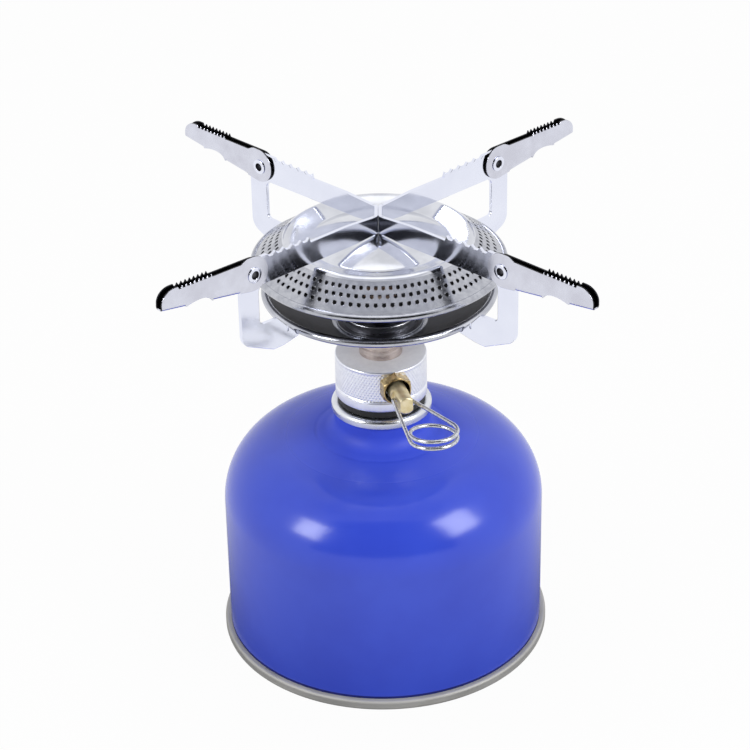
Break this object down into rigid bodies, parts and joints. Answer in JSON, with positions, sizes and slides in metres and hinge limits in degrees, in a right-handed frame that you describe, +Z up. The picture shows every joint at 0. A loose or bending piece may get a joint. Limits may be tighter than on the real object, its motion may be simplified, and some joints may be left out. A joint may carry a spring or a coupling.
{
  "type": "camping gas stove",
  "caption": "Compact camping gas burner with folding toothed pot arms, a reflector dish and a wire-handled valve, screwed on a domed gas canister.",
  "frame": {"origin": "centre of the canister's foot ring, on the floor", "axes": "+Z up along the canister's axis; -Y is the front, where the valve handle points a little to the right; +X is the right"},
  "size_m": [0.1318, 0.1282, 0.1595],
  "materials": {
    "can_paint": "gloss blue lacquer",
    "tin_steel": "bright tinplate",
    "rubber": "matt black",
    "nylon": "natural nylon",
    "valve_steel": "plain",
    "knurled_aluminium": "satin anodised, knurled band",
    "brass": "turned",
    "wire_steel": "bright plated wire",
    "bronze_tube": "turned, darker",
    "dish_steel": "mirror polished",
    "polished_steel": "mirror polished sheet",
    "cap_steel": "mirror polished, spun",
    "dark_steel": "dark, heat blackened"
  },
  "bodies": {
    "canister": {"canister_shell": "can_paint", "canister_base": "tin_steel", "valve_cup": "tin_steel", "cup_gasket": "rubber", "valve_housing": "nylon", "stem_gasket": "rubber", "valve_spring": "valve_steel"},
    "valve_stem": {"valve_stem": "valve_steel"},
    "seal_ring": {"seal_ring": "rubber"},
    "stove": {"valve_body": "knurled_aluminium", "depressor_pin": "brass", "gas_jet": "brass", "gland_nut": "brass", "mixing_tube": "bronze_tube", "reflector_dish": "dish_steel", "dish_washer": "polished_steel", "dish_nut": "polished_steel", "burner_pan": "dark_steel", "burner_cap": "cap_steel", "pot_support_left": "polished_steel", "pot_support_right": "polished_steel", "pivot_rivets": "polished_steel"},
    "spindle_seal": {"spindle_o_ring": "rubber"},
    "spindle": {"spindle": "brass"},
    "wire_handle": {"wire_handle": "wire_steel"},
    "arm_front_right": {"arm_front_right": "polished_steel"},
    "arm_back_right": {"arm_back_right": "polished_steel"},
    "arm_back_left": {"arm_back_left": "polished_steel"},
    "arm_front_left": {"arm_front_left": "polished_steel"}
  },
  "joints": [
    {"name": "stem_slide", "type": "slide", "parent": "canister", "child": "valve_stem", "axis": [0, 0, 1], "range_m": [0, 0.0012], "deforming": ["valve_spring"]},
    {"name": "seal_slide", "type": "slide", "parent": "canister", "child": "seal_ring", "axis": [0, 0, 1], "range_m": [0, 0.00363]},
    {"name": "stove_turn", "type": "hinge", "parent": "seal_ring", "child": "stove", "pos_m": [0, 0, 0.08921], "axis": [0, 0, 1], "range_deg": [0, 1440]},
    {"name": "spindle_slide", "type": "slide", "parent": "stove", "child": "spindle_seal", "axis": [0.2807, -0.9598, 0], "range_m": [0, 0.0015]},
    {"name": "spindle_turn", "type": "hinge", "parent": "spindle_seal", "child": "spindle", "pos_m": [0.00561, -0.0192, 0.09881], "axis": [0.2807, -0.9598, 0], "range_deg": [0, 1080]},
    {"name": "handle_fold", "type": "hinge", "parent": "spindle", "child": "wire_handle", "pos_m": [0.00671, -0.02294, 0.09881], "axis": [-0.9885, 0.1513, 0], "range_deg": [-45, 30]},
    {"name": "fold_front_right", "type": "hinge", "parent": "stove", "child": "arm_front_right", "pos_m": [0.03767, -0.03868, 0.15291], "axis": [-0.6871, -0.7266, 0], "range_deg": [-3.6, 160.9]},
    {"name": "fold_back_right", "type": "hinge", "parent": "stove", "child": "arm_back_right", "pos_m": [0.03861, 0.03775, 0.15291], "axis": [0.6691, -0.7431, 0], "range_deg": [-4, 160.5]},
    {"name": "fold_back_left", "type": "hinge", "parent": "stove", "child": "arm_back_left", "pos_m": [-0.03767, 0.03868, 0.15291], "axis": [0.6871, 0.7266, 0], "range_deg": [-5.3, 159.2]},
    {"name": "fold_front_left", "type": "hinge", "parent": "stove", "child": "arm_front_left", "pos_m": [-0.03861, -0.03775, 0.15291], "axis": [-0.6691, 0.7431, 0], "range_deg": [-5.9, 158.6]}
  ],
  "couplings": [
    {"joint": "seal_slide", "follows": "stove_turn", "m_per_rad": 0.00014437},
    {"joint": "stem_slide", "follows": "stove_turn", "m_per_rad": 0.000047747},
    {"joint": "spindle_slide", "follows": "spindle_turn", "m_per_rad": 0.000079577}
  ]
}
